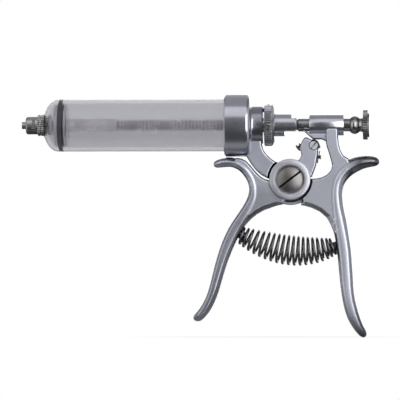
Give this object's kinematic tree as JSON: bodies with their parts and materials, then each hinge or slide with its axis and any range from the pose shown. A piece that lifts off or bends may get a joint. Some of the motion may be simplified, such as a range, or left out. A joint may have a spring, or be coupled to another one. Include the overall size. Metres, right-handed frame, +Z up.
{
  "type": "automatic syringe",
  "caption": "Pistol-grip automatic syringe: clear barrel, ring-toothed plunger rod, dose dial, and a sprung lever whose pawl pushes the rod one dose per squeeze.",
  "frame": {"origin": "tip of the needle cone, on the barrel's axis", "axes": "+X runs from the needle cone along the barrel to the rod's knob, +Z is up with the grips hanging down, and Y = 0 is the middle plane of the grips, with the screw head on the -Y side"},
  "size_m": [0.2004, 0.0354, 0.1365],
  "materials": {
    "satin_nickel": "fine satin nickel over a smooth casting",
    "bright_nickel": "turned and nickel plated",
    "dark_nickel": "turned and knurled, darkened in the grooves",
    "plain_steel": "turned, faintly ringed",
    "spring_steel": "oil-blackened wire",
    "hardened_steel": "ground and blackened",
    "dark_rubber": "smooth moulded",
    "milky_plastic": "clear to milky, lightly frosted by use"
  },
  "bodies": {
    "frame": {"frame": "satin_nickel", "barrel": "milky_plastic", "barrel_gasket": "dark_rubber", "luer_head": "dark_nickel", "nozzle_nut": "dark_nickel", "nozzle_stem": "bright_nickel", "nozzle_washer": "dark_rubber", "guide_tube": "bright_nickel", "pivot_screw": "plain_steel", "detent_spring": "spring_steel", "handle_spring": "spring_steel", "frame_spring_peg": "plain_steel"},
    "plunger": {"piston_nut": "bright_nickel", "piston_front_disc": "bright_nickel", "piston_seal": "dark_rubber", "piston_rear_disc": "bright_nickel", "toothed_rod": "dark_nickel", "rod_knob": "dark_nickel"},
    "dial": {"dose_dial": "dark_nickel"},
    "detent_ball": {"detent_ball": "bright_nickel"},
    "lever": {"trigger_lever": "satin_nickel", "lever_spring_peg": "plain_steel", "pawl_screw": "bright_nickel", "pawl_spring": "spring_steel", "pawl_spring_screw": "spring_steel"},
    "pawl": {"pawl": "hardened_steel"}
  },
  "joints": [
    {"name": "lever_squeeze", "type": "hinge", "parent": "frame", "child": "lever", "pos_m": [0.1506, 0, -0.0306], "axis": [0, -1, 0], "range_deg": [0, 19], "stiffness_Nm_per_rad": 1.2, "springref_deg": -20.05, "deforming": ["handle_spring"]},
    {"name": "pawl_swing", "type": "hinge", "parent": "lever", "child": "pawl", "pos_m": [0.1639, 0, -0.0115], "axis": [0, 1, 0], "range_deg": [0, 49], "stiffness_Nm_per_rad": 0.01, "springref_deg": -17.19},
    {"name": "dial_turn", "type": "hinge", "parent": "frame", "child": "dial", "pos_m": [0.1385, 0, 0], "axis": [1, 0, 0], "range_deg": [-270, 0]},
    {"name": "plunger_slide", "type": "slide", "parent": "frame", "child": "plunger", "axis": [1, 0, 0], "range_m": [0, 0.094]},
    {"name": "detent_ball_slide", "type": "slide", "parent": "frame", "child": "detent_ball", "axis": [1, 0, 0], "range_m": [0, 0.0003], "stiffness_N_per_m": 300, "springref_m": 0.002}
  ]
}
